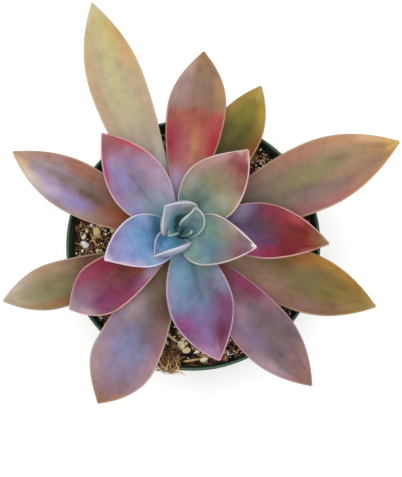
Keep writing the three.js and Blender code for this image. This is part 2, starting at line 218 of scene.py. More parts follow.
look("leaf_01", slot="olive_leaf", margin=("c8b890", 0.25, 0.5), back="7c7450", along=[
    (0, "5a4430"), (45, "4e462a"), (58, "545022"), (70, "62601e"), (80, "7a7224"), (88, "8c7c28"),
    (95, "a48c3a"), (100, "b4a274"),
], blushes=[
    (60, -95, 20, 40, "a0562a", 90), (70, -45, 12, 40, "5e581e", 60), (85, -85, 14, 40, "b0943c", 85),
    (80, 90, 20, 35, "a8843e", 80), (62, 45, 14, 35, "706630", 70), (95, -30, 5, 60, "b8a054", 60),
])
look("leaf_02", slot="tan_leaf", margin=("ccb8a4", 0.25, 0.5), back="8a7c68", along=[
    (0, "6e5244"), (40, "745845"), (55, "82684c"), (65, "827250"), (75, "8c8460"), (85, "9c9072"),
    (95, "b4a48c"), (100, "c2b6a6"),
], blushes=[
    (50, -90, 10, 40, "6c4030", 70), (72, -90, 16, 40, "b89278", 75), (90, -80, 10, 45, "c4b2a4", 70),
    (68, 90, 18, 35, "8e6034", 90), (82, 85, 14, 30, "a08660", 60), (72, 20, 14, 35, "7a7450", 65),
    (84, 10, 6, 50, "94886a", 60),
])
look("leaf_03", slot="tan_leaf", margin=("c8a47c", 0.25, 0.5), back="86785c", along=[
    # The pale root, the stops up to 32 along, is painted light: lighter than the leaf's own colour, to make
    # up for the shade that leaf_11 casts there.
    (0, "e0c0a8"), (20, "d4b49c"), (32, "b89880"), (42, "a08468"), (52, "826c46"), (65, "786b40"),
    (78, "7c6934"), (88, "8a7032"), (96, "987c3c"), (100, "b49c6c"),
], blushes=[
    (45, -80, 16, 45, "a8766c", 80), (65, -85, 16, 40, "926a64", 80), (80, -90, 12, 30, "8c6250", 60),
    (50, -35, 12, 30, "987a6c", 60), (88, -55, 10, 40, "907450", 60), (48, 50, 14, 40, "86683e", 60),
    (58, 85, 14, 35, "b4763c", 85), (75, 90, 16, 32, "b07c2c", 85), (85, 40, 14, 30, "86661e", 70),
    (72, 40, 10, 30, "785832", 60),
])
look("leaf_04", slot="pale_leaf", margin=("dcc8a8", 0.25, 0.5), back="9c9480", along=[
    (0, "bcbcc2"), (20, "bab4b2"), (35, "b4a696"), (45, "b6a890"), (55, "bbae8c"), (68, "bbb08c"),
    (82, "c2b484"), (93, "c2b37c"), (100, "c8be98"),
], blushes=[
    # The blush at 25 along and -85 across, pale grey at the root's right edge, is painted light where leaf_09
    # shades the root.
    (25, -85, 16, 35, "dcdce4", 85), (50, 90, 30, 40, "c8a08c", 70), (78, -85, 16, 45, "cca268", 75),
    (50, -90, 25, 35, "c2a48a", 60), (62, -80, 10, 30, "c6b08e", 50), (85, -30, 10, 30, "ccb674", 50),
    (68, 0, 25, 20, "c4bc80", 50), (75, 45, 20, 25, "bcb090", 50), (74, 90, 20, 30, "c8a680", 60),
    (94, 90, 5, 35, "dccaa8", 70),
])
look("leaf_05", slot="mauve_leaf", margin=("e0c0a4", 0.3, 0.65), back="8c7880", along=[
    (0, "b49c80"), (15, "a8886c"), (28, "887460"), (38, "7e6e66"), (48, "7e747a"), (57, "7c7490"),
    (68, "8480a2"), (78, "8a7c98"), (87, "8e7482"), (94, "8e6a62"), (100, "96704e"),
], blushes=[
    (43, -65, 14, 50, "bca4ac", 80), (60, -85, 20, 35, "9e8096", 70), (80, -85, 16, 40, "b08e90", 70),
    (40, 70, 14, 45, "704636", 85), (56, 85, 14, 35, "90645c", 75), (72, 85, 16, 30, "ac8084", 70),
    (55, 40, 8, 30, "76565c", 60), (66, 0, 12, 22, "7c80a8", 60), (88, 35, 7, 40, "8a6a78", 60),
    (93, 85, 6, 30, "b4846c", 60),
])
look("leaf_06", slot="tan_leaf", margin=("dcb898", 0.25, 0.55), back="8c7c6c", along=[
    (0, "70645c"), (20, "74665e"), (35, "766860"), (46, "806e5e"), (58, "8a7c5e"), (70, "947e60"),
    (82, "a08266"), (91, "ac8558"), (97, "caa45a"), (100, "d4b478"),
], blushes=[
    (40, 80, 14, 45, "a07866", 70), (60, 85, 16, 35, "b67c68", 80), (78, 85, 14, 35, "be906a", 75),
    (89, 85, 8, 35, "d8ae84", 80), (50, -85, 14, 40, "905658", 80), (66, -90, 18, 35, "b26c70", 80),
    (60, -50, 20, 30, "866c70", 65), (83, -45, 10, 35, "967260", 70), (60, 15, 20, 22, "888050", 65),
    (82, -90, 10, 25, "b08660", 60),
])
look("leaf_07", slot="mauve_leaf", margin=("d8b8a0", 0.25, 0.5), back="90787c", along=[
    (0, "c0703a"), (22, "b46434"), (34, "98583a"), (45, "7a5644"), (55, "7a625a"), (65, "887276"),
    (75, "968492"), (84, "a08c98"), (93, "b0947a"), (100, "b89a72"),
], blushes=[
    (28, 50, 10, 60, "a05c48", 70), (42, 75, 12, 40, "a07c6c", 70), (55, 85, 12, 30, "b8a09e", 70),
    (60, 50, 15, 33, "988ac0", 90), (74, 60, 14, 45, "b8a8c4", 85), (86, 85, 12, 40, "e0ccba", 85),
    # The long narrow blush at 66 along and -15 across, a dark band between the two halves, is painted shade
    # in the crease.
    (66, -15, 26, 16, "7c6868", 80), (48, -85, 14, 40, "a06c64", 70), (66, -80, 18, 40, "a46a4e", 80),
    (84, -80, 12, 40, "a47e68", 70), (50, 0, 12, 15, "6a4c40", 60), (93, 50, 6, 50, "d4b494", 60),
])
look("leaf_08", slot="mauve_leaf", margin=("c8a0a0", 0.25, 0.55), back="886c78", along=[
    (0, "a87270"), (20, "9c6868"), (32, "8c5c68"), (42, "8a6472"), (52, "7e687a"), (63, "72606a"),
    (75, "745e68"), (86, "806266"), (93, "90685c"), (100, "8c6850"),
], blushes=[
    (24, 70, 10, 50, "a86460", 70), (46, -40, 12, 45, "b488a0", 80), (60, -50, 14, 40, "8a7494", 70),
    (60, -90, 14, 25, "a67888", 60), (80, -85, 14, 30, "b09aa4", 80), (38, 75, 11, 40, "983a64", 90),
    (47, 85, 8, 35, "843058", 80), (56, 85, 7, 30, "a4707c", 60), (60, 45, 14, 35, "705656", 70),
    (74, 40, 14, 30, "785c60", 60), (86, 85, 8, 25, "a8807c", 50), (44, 30, 6, 30, "74485c", 50),
])
look("leaf_09", slot="red_leaf", margin=("d0a894", 0.25, 0.55), back="987078", along=[
    (0, "bca8c4"), (22, "b49cb0"), (33, "b07c78"), (45, "b06e5a"), (58, "a85e4c"), (65, "a05a4c"),
    (68, "946a5e"), (80, "8e7062"), (90, "927258"), (100, "9a764a"),
], blushes=[
    (50, -85, 16, 42, "a62a36", 92), (61, -80, 6, 40, "ae444a", 75), (61, -30, 6, 30, "a04a3c", 50),
    (48, 85, 16, 45, "962446", 92), (45, 35, 14, 30, "a44c66", 60), (24, 40, 10, 70, "b8a4d0", 80),
    (78, 75, 14, 45, "ac8e8c", 85), (74, -35, 10, 30, "8e684e", 60), (77, -90, 14, 30, "b48a5e", 80),
    (90, 85, 8, 35, "c0a094", 70), (45, -10, 14, 15, "c0804e", 65), (82, 5, 12, 15, "8a7a62", 60),
])
look("leaf_10", slot="red_leaf", margin=("e4b4a8", 0.35, 0.75), back="84586c", along=[
    (0, "b4645a"), (30, "a05046"), (42, "984a3e"), (52, "7a3a3a"), (60, "7c3e46"), (70, "804256"),
    (78, "844e66"), (87, "8a647c"), (95, "94808c"), (100, "a8949c"),
], blushes=[
    (58, -80, 20, 50, "8e1e40", 90), (80, -85, 10, 35, "983c58", 80), (30, 80, 14, 40, "ccbce0", 90),
    (46, 85, 10, 35, "9c6090", 80), (50, 40, 10, 25, "682e48", 60), (60, 85, 10, 30, "943660", 75),
    (66, 45, 12, 35, "782650", 80), (76, 50, 8, 35, "80346a", 65), (90, 80, 6, 35, "c4a4a8", 70),
    (52, -5, 10, 20, "663030", 60),
])
look("leaf_11", slot="red_leaf", margin=("e4b0ac", 0.3, 0.7), back="7c5058", bloom=0, along=[
    (0, "787c90"), (28, "646a80"), (38, "5c5a6e"), (46, "584a66"), (54, "583e52"), (62, "6a303c"),
    (72, "782022"), (84, "74160c"), (91, "824832"), (96, "907048"), (100, "7c6450"),
], blushes=[
    (44, -45, 12, 45, "80608e", 85), (57, -35, 10, 35, "70406c", 70), (50, -85, 12, 35, "ac4878", 85),
    (64, -85, 10, 35, "902848", 80), (78, -60, 10, 45, "781c2a", 80), (36, 85, 12, 45, "a48cb4", 85),
    (52, 30, 12, 35, "543040", 45), (62, 80, 14, 40, "8c2e44", 75), (76, 85, 10, 30, "ac4a4a", 80),
    (86, -90, 6, 25, "9c5450", 60),
])
look("leaf_12", slot="lavender_leaf", margin=("e4bcbc", 0.35, 0.75), back="8c80a0", along=[
    (0, "84a4b8"), (20, "8ca8bc"), (32, "8e98ae"), (44, "8c8298"), (54, "8a788e"), (66, "927c9c"),
    (76, "9e7894"), (82, "9c6474"), (88, "96545c"), (94, "98585f"), (100, "ac7478"),
], blushes=[
    (32, -75, 14, 45, "b0aac0", 75), (46, -75, 14, 40, "bc9eb6", 80), (60, -80, 12, 40, "b6889e", 70),
    # The blush at 46 along and 5 across, a dark narrow band on the midrib, is painted shade in a crease.
    (74, -85, 8, 35, "a86474", 80), (85, -70, 7, 50, "a44c58", 80), (46, 5, 22, 10, "74708c", 60),
    (34, 75, 12, 40, "a09ccc", 75), (52, 90, 14, 25, "a47cb0", 70), (60, 40, 18, 26, "8e84b8", 85),
    (76, 50, 7, 30, "9c8cb8", 75), (72, 95, 12, 20, "a85c84", 70), (86, 50, 5, 50, "94607a", 60),
    (80, -95, 18, 16, "b83c54", 75), (74, 95, 18, 14, "a43c6c", 70),
])
look("leaf_13", slot="lavender_leaf", margin=("dcb4c4", 0.35, 0.75), back="7c6c94", along=[
    (0, "a4d0e4"), (14, "9cc8dc"), (24, "78a0ac"), (34, "66869a"), (45, "667898"), (55, "707c9e"),
    (65, "766a96"), (75, "7a5c86"), (85, "8a6088"), (94, "9e7496"), (100, "ac7e94"),
], blushes=[
    (30, -55, 22, 50, "7ca0c4", 80), (42, -95, 20, 25, "9494b4", 70), (23, 10, 10, 20, "5a7c78", 70),
    # The blush at 42 along and 5 across, dark teal on the midrib, is painted shade in the midrib's channel.
    (26, 50, 10, 35, "909a90", 65), (42, 5, 18, 12, "4a6478", 70), (46, 40, 12, 30, "6a6678", 70),
    (40, 85, 14, 30, "988ea6", 75), (62, 40, 14, 25, "66547a", 65), (62, 80, 13, 35, "7c3862", 85),
    (80, 60, 15, 45, "68244a", 95), (90, 80, 7, 30, "803850", 75), (69, -85, 12, 45, "8a3c76", 85),
    (78, -20, 16, 20, "8464a0", 70), (90, -70, 6, 40, "b08ab0", 60),
])
look("leaf_14", slot="grey_green_leaf", margin=("ecccc8", 0.35, 0.8), back="88807c", along=[
    (0, "74a4a0"), (20, "72928e"), (32, "7a8e84"), (43, "868c7a"), (54, "8e8666"), (65, "967e6a"),
    (75, "966a5e"), (83, "884e48"), (89, "945a58"), (95, "a4706c"), (100, "c89c94"),
], blushes=[
    # The blush at 24 along and 5 across, dark teal at the root beside the bud, is a painted shadow.
    (24, 5, 8, 20, "406868", 85), (35, 0, 10, 15, "5a706a", 60), (28, -50, 12, 40, "90b4a8", 80),
    (46, -50, 12, 35, "a8ae9c", 75), (58, -85, 10, 35, "b4a088", 70), (72, -85, 10, 35, "96624e", 75),
    (84, -50, 6, 50, "883634", 85), (94, -85, 5, 30, "e0a8a0", 70), (36, 40, 10, 30, "727c78", 60),
    (40, 85, 16, 35, "a89e96", 75), (60, 85, 14, 30, "b48c88", 75), (78, 85, 12, 35, "c8a0a0", 85),
    (94, 60, 4, 40, "ccaaa4", 70),
])
look("leaf_15", slot="blue_leaf", margin=("e6deee", 0.4, 0.85), back="8484b0", along=[
    (0, "4c80a0"), (20, "5080a0"), (32, "6090ba"), (45, "729ccc"), (57, "7ea0ce"), (70, "8c9ccc"),
    (80, "949ac6"), (88, "9c98c4"), (94, "b0a8ca"), (100, "d4cce2"),
], blushes=[
    (22, -30, 8, 40, "446c7c", 80), (36, -85, 12, 35, "9cacd0", 80), (58, -85, 12, 35, "8e8eb6", 80),
    (74, -80, 10, 40, "8c74a6", 85), (86, -50, 7, 50, "8474a2", 85), (50, 40, 12, 30, "80a8dc", 60),
    (38, 85, 14, 40, "bcccf0", 85), (62, 90, 10, 25, "bcb4cc", 70), (80, 95, 14, 22, "dcb8d0", 85),
    (72, 50, 8, 30, "888ec4", 60), (85, 45, 6, 30, "9086b4", 60), (96, 60, 4, 50, "dcd0e4", 70),
])
look("leaf_16", slot="grey_green_leaf", margin=("ead2d2", 0.33, 0.8), back="7c8c8c", along=[
    (0, "c4f0f8"), (15, "b0dce0"), (30, "7ca0a0"), (42, "6a8c94"), (52, "6c888c"), (62, "7a807c"),
    (72, "867476"), (80, "866870"), (87, "806070"), (93, "8a7480"), (100, "e0d8e0"),
], blushes=[
    (25, -70, 12, 45, "a0bcae", 70), (42, -35, 12, 35, "6c90a8", 70), (42, -90, 12, 25, "8ca2a4", 70),
    (60, -55, 10, 40, "747690", 70), (82, -60, 10, 50, "804860", 75), (33, 45, 12, 35, "90b4a2", 80),
    (50, 45, 14, 40, "8a9e84", 55), (66, 50, 13, 35, "988470", 60), (50, 90, 14, 25, "9c9684", 75),
    (68, 90, 10, 22, "b0a09a", 70), (88, 100, 16, 12, "f8f0f8", 95), (98, 40, 5, 50, "f8f0f8", 95),
])
look("bud_leaf_1", slot="bud_leaf", margin=("ccd2d6", 0.4, 0.8), back="aab4bc", along=[
    (0, "4c9498"), (25, "68aab4"), (42, "84b8c8"), (58, "a4c8dc"), (75, "bccce4"), (100, "d0c8dc"),
], blushes=[
    (47, -60, 16, 50, "ccd0c4", 85), (66, -80, 16, 40, "fff8f4", 85), (40, 55, 18, 35, "94d4f8", 85),
    (66, 70, 18, 40, "f4f8ff", 85), (25, 0, 14, 30, "28646a", 85), (70, -20, 12, 25, "a4a4b4", 60),
    (60, 95, 25, 18, "f4ccd4", 70),
])
look("bud_leaf_2", slot="bud_leaf", margin=("dcdce8", 0.4, 0.8), back="a8a8bc", along=[
    (0, "90d8f0"), (20, "80c4e8"), (40, "7cb8ec"), (60, "78a8dc"), (80, "7898c4"), (100, "90a4c8"),
], blushes=[
    # The white blush at 40 along and 88 across is a painted highlight on the lit top edge of the fold.
    (40, 88, 40, 34, "ffffff", 95), (45, -85, 35, 40, "4c7898", 85), (50, 10, 30, 30, "74aad4", 60),
    (20, 20, 14, 50, "68b0c0", 75),
])
look("bud_leaf_3", slot="bud_leaf", margin=("c8d4d0", 0.4, 0.8), back="7898a0", along=[
    (0, "6cacb6"), (40, "729ea6"), (60, "749498"), (80, "84969c"), (100, "949ca2"),
], blushes=[
    # The narrow near-white blush at 55 along and 97 across is a painted highlight along the leaf's left edge.
    (50, 60, 35, 30, "a8c0c4", 70), (60, -20, 20, 30, "688690", 60), (55, 97, 50, 12, "f0f8f8", 90),
    (72, -90, 12, 30, "587074", 50),
])
look("bud_leaf_4", slot="bud_leaf", margin=("a8c8cc", 0.2, 0.7), back="5c8c94", along=[
    (0, "4c8c98"), (50, "78b0bc"), (100, "a8ccd0"),
], blushes=[
    (70, 0, 20, 50, "6ca4ac", 60),
])
look("bud_leaf_5", slot="bud_leaf", margin=("90aca4", 0.12, 0.3), back="5a7c7c", along=[
    # The pale tip, the last ramp stop and the blush at 95 along, is a painted highlight.
    (0, "284e54"), (60, "4c7478"), (85, "648a88"), (100, "c0d4bc"),
], blushes=[
    (95, 0, 6, 50, "b4ccb0", 60),
])


def linear(code):
    """A colour written as six hexadecimal digits of sRGB, as linear red, green, blue and alpha."""
    parts = [int(code[i:i + 2], 16) / 255 for i in (0, 2, 4)]
    return tuple(p / 12.92 if p <= 0.04045 else ((p + 0.055) / 1.055) ** 2.4 for p in parts) + (1.0,)


def bearing(azimuth, climb=0.0):
    """The direction at an azimuth and a climb in degrees."""
    a, c = radians(azimuth), radians(climb)
    return Vector((cos(a) * cos(c), sin(a) * cos(c), sin(c)))


def lerp(a, b, share):
    return a + (b - a) * share


def ripple(*place):
    """Smooth noise from about -1 to 1."""
    return noise.noise(Vector(place))


# Shader nodes

class Shader:
    """A node material whose calls add one node each and return its output socket."""

    def __init__(self, name):
        self.material = bpy.data.materials.new(name)
        self.material.use_nodes = True
        self.tree = self.material.node_tree
        self.surface = self.tree.nodes["Principled BSDF"]

    def add(self, kind, inputs, output=0, **settings):
        node = self.tree.nodes.new("ShaderNode" + kind)
        for key, value in settings.items():
            setattr(node, key, value)
        self.feed(node, inputs)
        return node.outputs[output]

    def feed(self, node, inputs):
        for key, value in inputs.items():
            if isinstance(value, bpy.types.NodeSocket):
                self.tree.links.new(value, node.inputs[key])
            else:
                node.inputs[key].default_value = value

    def attribute(self, name):
        return self.add("Attribute", {}, "Fac", attribute_name=name)

    def place(self):
        return self.add("TexCoord", {}, "Object")

    def math(self, operation, a, b=0.0, c=0.0):
        return self.add("Math", {0: a, 1: b, 2: c}, operation=operation)

    def mix(self, share, a, b, blend="MIX"):
        return self.add("Mix", {0: share, 6: a, 7: b}, 2, data_type="RGBA", blend_type=blend)

    def fade(self, value, start, end, to=1.0, out_of=0.0):
        """Goes smoothly from out_of, where value is at start, to the number to, where it is at end."""
        inputs = {"Value": value, "From Min": start, "From Max": end, "To Min": out_of, "To Max": to}
        return self.add("MapRange", inputs, interpolation_type="SMOOTHSTEP")

    def noise(self, where, scale, detail=3.0, roughness=0.5):
        inputs = {"Vector": where, "Scale": scale, "Detail": detail, "Roughness": roughness}
        return self.add("TexNoise", inputs)

    def ramp(self, value, stops, interpolation="EASE"):
        socket = self.add("ValToRGB", {0: value})
        ramp = socket.node.color_ramp
        ramp.interpolation = interpolation
        while len(ramp.elements) < len(stops):
            ramp.elements.new(1.0)
        for element, (position, code) in zip(ramp.elements, stops):
            element.position = position
            element.color = linear(code) if isinstance(code, str) else code
        return socket

    def bump(self, height, depth, strength, **normal):
        return self.add("Bump", {"Height": height, "Distance": depth * MM, "Strength": strength, **normal})


DRIFT_SIZE = 90
MOTTLE_SIZE = 240
BLOOM_SIZE = 700
GRAIN_SIZE = 2600
BLOTCH_ALONG, BLOTCH_ACROSS = 7, 2.4
STREAK_ALONG, STREAK_ACROSS = 3.5, 5
TINGE_ALONG, TINGE_ACROSS = 6, 2
SKIN_LIGHT = 0.675
LEAF_SPECULAR = 0.15
BLOOM = 0.05


def skin(code):
    """A colour seen on a leaf, less what the studio's light adds to it."""
    red, green, blue, alpha = linear(code)
    return red * SKIN_LIGHT, green * SKIN_LIGHT, blue * SKIN_LIGHT, alpha


def drawn_out_noise(s, along, across, seed, times_along, times_across):
    """Noise round zero whose patches are longer along the leaf than across it."""
    place = {0: s.math("MULTIPLY", along, times_along), 1: s.math("MULTIPLY", across, times_across), 2: seed}
    return s.math("SUBTRACT", s.noise(s.add("CombineXYZ", place), 1.0, 3.0), 0.5)


def leaf_material(name, look, seed):
    """Waxy leaf skin: a ramp along the leaf, soft blushes, a thin pale margin and a bloom of wax."""
    s = Shader(name + "_skin")
    along, across = s.attribute("along"), s.attribute("across")
    where = s.place()
    drift = s.math("SUBTRACT", s.noise(where, DRIFT_SIZE, 2.0), 0.5)
    blotch = drawn_out_noise(s, along, across, seed, BLOTCH_ALONG, BLOTCH_ACROSS)
    streak = drawn_out_noise(s, along, across, seed + 40, STREAK_ALONG, STREAK_ACROSS)
    tinge = drawn_out_noise(s, along, across, seed + 80, TINGE_ALONG, TINGE_ACROSS)
    bend = s.math("MULTIPLY_ADD", blotch, 0.08, s.math("MULTIPLY", drift, 0.1))
    colour = s.ramp(s.math("ADD", bend, along), [(at / 100, skin(code)) for at, code in look["along"]])
    for at_along, at_across, length, width, code, strength in look["blushes"]:
        da = s.math("DIVIDE", s.math("SUBTRACT", along, at_along / 100), length / 100)
        db = s.math("DIVIDE", s.math("SUBTRACT", across, at_across / 100), width / 100 * 1.25)
        reach = s.math("SQRT", s.math("ADD", s.math("MULTIPLY", da, da), s.math("MULTIPLY", db, db)))
        reach = s.math("MULTIPLY_ADD", bend, 6.0, reach)
        colour = s.mix(s.fade(reach, 1.3, 0.1, strength / 100), colour, skin(code))
    mottle = s.noise(where, MOTTLE_SIZE, 2.0)
    for pattern, start, end, strength, code in [
            (mottle, 0.45, 0.72, 0.16, "dcd8d4"), (mottle, 0.55, 0.28, 0.16, "443e40"),
            (blotch, 0, 0.2, 0.16, "dcd8d0"), (blotch, 0, -0.2, 0.2, "504c50"),
            (streak, 0, 0.2, 0.07, "e0d8b8"), (streak, 0, -0.2, 0.07, "383438"),
            (tinge, 0, 0.2, 0.13, "a4d08c"), (tinge, 0, -0.2, 0.15, "e4a4b4")]:
        colour = s.mix(s.fade(pattern, start, end, strength), colour, linear(code), "SOFT_LIGHT")
    colour = s.mix(s.math("MULTIPLY", s.attribute("face"), 0.6), colour, skin(look["back"]))
    wax = s.noise(where, BLOOM_SIZE, 4.0, 0.6)
    colour = s.mix(s.fade(wax, 0.45, 0.8, look.get("bloom", BLOOM)), colour, skin("cfd2dc"))
    rim = s.math("MULTIPLY_ADD", s.math("SUBTRACT", mottle, 0.5), 0.5, s.attribute("rim"))
    code, width, strength = look["margin"]
    edge = s.fade(rim, width, 0.1, strength)
    edge = s.math("MULTIPLY", edge, s.fade(drift, -0.2, 0.1, out_of=0.6))
    colour = s.mix(edge, colour, skin(code))
    grain = s.noise(where, GRAIN_SIZE, 2.0)
    s.feed(s.surface, {
        "Base Color": colour, "Roughness": s.fade(wax, 0.3, 0.7, 0.68, 0.5),
        "Normal": s.bump(mottle, 0.14, 0.5, Normal=s.bump(grain, 0.02, 0.5)),
        "Specular IOR Level": LEAF_SPECULAR, "Subsurface Weight": 0.1,
        "Subsurface Radius": (1.0, 0.45, 0.4), "Subsurface Scale": 1.2 * MM,
    })
    return s.material


def pot_material():
    """Dark green moulded plastic with a fine texture, a little dust, a painted highlight on the rim's top and
    painted shade on the inside.
    """
    s = Shader("moulded_plastic")
    where = s.place()
    cloud = s.noise(where, 40, 4.0, 0.6)
    speck = s.noise(where, 1500, 3.0)
    dust = s.fade(s.noise(where, 130, 6.0, 0.7), 0.52, 0.78, 0.16)
    colour = s.ramp(cloud, [(0.3, "12352a"), (0.7, "1f4c3a")])
    crown, inside = s.attribute("crown"), s.attribute("inside")
    # The paler green on the rim's top is a painted highlight; the near-black inside is painted shade on the
    # inner wall and floor.
    for share, code in [(dust, "8a8474"), (crown, "2a4a30"), (inside, "0a2414")]:
        colour = s.mix(share, colour, linear(code))
    s.feed(s.surface, {
        "Base Color": colour, "Roughness": s.fade(cloud, 0.3, 0.7, 0.48, 0.34), "Specular IOR Level": 0.35,
        "Normal": s.bump(speck, 0.05, 0.5),
    })
    return s.material


def mix_material(name, stops, scale, rough, speckle, shadow=0.7):
    """Loose matter: each grain has its own tone, under a finer noise."""
    s = Shader(name)
    where = s.place()
    fine = s.noise(where, scale, 5.0, 0.65)
    tone = s.math("MULTIPLY_ADD", s.math("SUBTRACT", fine, 0.5), speckle, s.attribute("tone"))
    colour = s.ramp(tone, stops, "LINEAR")
    shade = s.fade(s.noise(where, scale * 0.35, 4.0), 0.3, 0.6, out_of=shadow)
    colour = s.mix(1.0, colour, s.add("CombineColor", {0: shade, 1: shade, 2: shade}), "MULTIPLY")
    s.feed(s.surface, {
        "Base Color": colour, "Roughness": rough, "Specular IOR Level": 0.25,
        "Normal": s.bump(fine, 0.5, 0.8),
    })
    return s.material


def stem_material():
    """A grey-green skin that turns dark teal towards the bud."""
    s = Shader("stem_skin")
    where = s.place()
    cloud = s.noise(where, 300, 4.0)
    colour = s.ramp(cloud, [(0.3, "6a7050"), (0.55, "868c68"), (0.75, "9a8c70")])
    height = s.add("SeparateXYZ", {0: where}, 2)
    colour = s.mix(s.fade(height, 98 * MM, 104 * MM), colour, linear("1c4a50"))
    s.feed(s.surface, {"Base Color": colour, "Roughness": 0.6, "Normal": s.bump(cloud, 0.4, 0.7)})
    return s.material


# Meshes

def make_object(name, data):
    thing = bpy.data.objects.new(name, data)
    bpy.context.scene.collection.objects.link(thing)
    return thing


def set_values(mesh, attributes):
    """One float attribute on the mesh's points for each named list."""
    for key, values in attributes.items():
        layer = mesh.attributes.new(key, "FLOAT", "POINT")
        layer.data.foreach_set("value", np.asarray(values, np.float32))


def make_piece(name, verts, faces, material, smooth=True, **attributes):
    """A piece from points in millimetres."""
    mesh = bpy.data.meshes.new(name)
    mesh.from_pydata([tuple(MM * c for c in v) for v in verts], [], faces)
    mesh.update()
    set_values(mesh, attributes)
    mesh.materials.append(material)
    mesh.polygons.foreach_set("use_smooth", [smooth] * len(mesh.polygons))
    return make_object(name, mesh)


def finish_piece(piece, slot, node):
    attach(piece, "root")
    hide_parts(node)


class Heap:
    """Many small closed bodies in one mesh, each with its own tone."""

    def __init__(self):
        self.verts, self.faces, self.tones = [], [], []

    def add(self, verts, faces, tone):
        first = len(self.verts)
        self.verts += [tuple(v) for v in verts]
        self.faces += [tuple(first + i for i in face) for face in faces]
        self.tones += [tone] * len(verts)

    def piece(self, name, material, smooth=True):
        return make_piece(name, self.verts, self.faces, material, smooth, tone=self.tones)


def lathe(points, segments):
    """Points and faces of a solid of revolution from (radius, height) points, closed on the axis."""
    verts, faces, rings = [], [], []
    for radius, height in points:
        if radius == 0:
            rings.append([len(verts)] * segments)
            verts.append((0, 0, height))
        else:
            rings.append(list(range(len(verts), len(verts) + segments)))
            for k in range(segments):
                turn = 2 * pi * k / segments
                verts.append((radius * cos(turn), radius * sin(turn), height))
    for low, high in zip(rings, rings[1:]):
        for k in range(segments):
            n = (k + 1) % segments
            faces.append(tuple(dict.fromkeys([low[k], low[n], high[n], high[k]])))
    return verts, faces


def ring_faces(stations, corners):
    """Faces of a bar that is built from rings of corners and closed at both ends."""
    faces = []
    for first in range(0, (stations - 1) * corners, corners):
        for k in range(corners):
            n = (k + 1) % corners
            faces.append((first + k, first + n, first + corners + n, first + corners + k))
    faces.append(tuple(range(corners - 1, -1, -1)))
    faces.append(tuple(range((stations - 1) * corners, stations * corners)))
    return faces


def flipped(faces):
    return [face[:1] + face[:0:-1] for face in faces]


# Leaves, by the same formulas as in the part's source, at a finer step

def stem_radius(height):
    heights = [h for _, h in STEM_PROFILE]
    radii = [r for r, _ in STEM_PROFILE]
    return float(np.interp(height, heights, radii))


def leaf_outline(leaf, along):
    if along < leaf.widest:
        rise = sin(along / leaf.widest * pi / 2) ** leaf.swell
        return lerp(leaf.base, 1, rise)
    closing = ((along - leaf.widest) / (1 - leaf.widest)) ** leaf.point
    return max(1 - closing, LEAF_TIP_WIDTH / leaf.width)


def leaf_thickness(leaf, along, across):
    swelling = 0.62 + 0.38 * sin(pi * min(1.1 * along, 1))
    taper = min(4 * (1 - along), 1) ** 0.6
    middle = max(leaf.thick * swelling * taper, LEAF_EDGE)
    return lerp(LEAF_EDGE, middle, (1 - min(across * across, 1)) ** 0.75)


def midrib(leaf, node_height):
    """The handles of the leaf's middle line, which starts a little inside the stem."""
    centre = Vector((STEM_X, STEM_Y, 0))
    root_radius = max(stem_radius(node_height) - LEAF_SUNK, 0.4)
    root = centre + bearing(leaf.azimuth + leaf.turn) * root_radius + Vector((0, 0, node_height))
    tip = centre + bearing(leaf.azimuth) * leaf.reach + Vector((0, 0, leaf.tip))
    third = (tip - root).length / 3
    after = root + bearing(leaf.azimuth + leaf.turn, leaf.lift) * third
    before = tip - bearing(leaf.azimuth + leaf.sweep, leaf.level) * third
    return root, after, before, tip


def curve_point(handles, t):
    a, b, c, d = handles
    return a * (1 - t) ** 3 + b * (3 * t * (1 - t) ** 2) + c * (3 * t * t * (1 - t)) + d * t ** 3


def curve_tangent(handles, t):
    a, b, c, d = handles
    return ((b - a) * (1 - t) ** 2 + (c - b) * (2 * t * (1 - t)) + (d - c) * t * t).normalized()


def leaf_relief(seed, along, across, width):
    """Small unevenness of the upper face: low swellings and a shallow channel on the midrib."""
    swell = ripple(along * 7, across * 1.6, seed) * DIMPLE
    fine = ripple(along * 16, across * 5, seed + 7) * DIMPLE * 0.35
    channel = -CHANNEL * exp(-((across / CHANNEL_WIDTH) ** 2)) * (1 - along) * min(width / 20, 1)
    return (swell + fine + channel) * (1 - across ** 4)


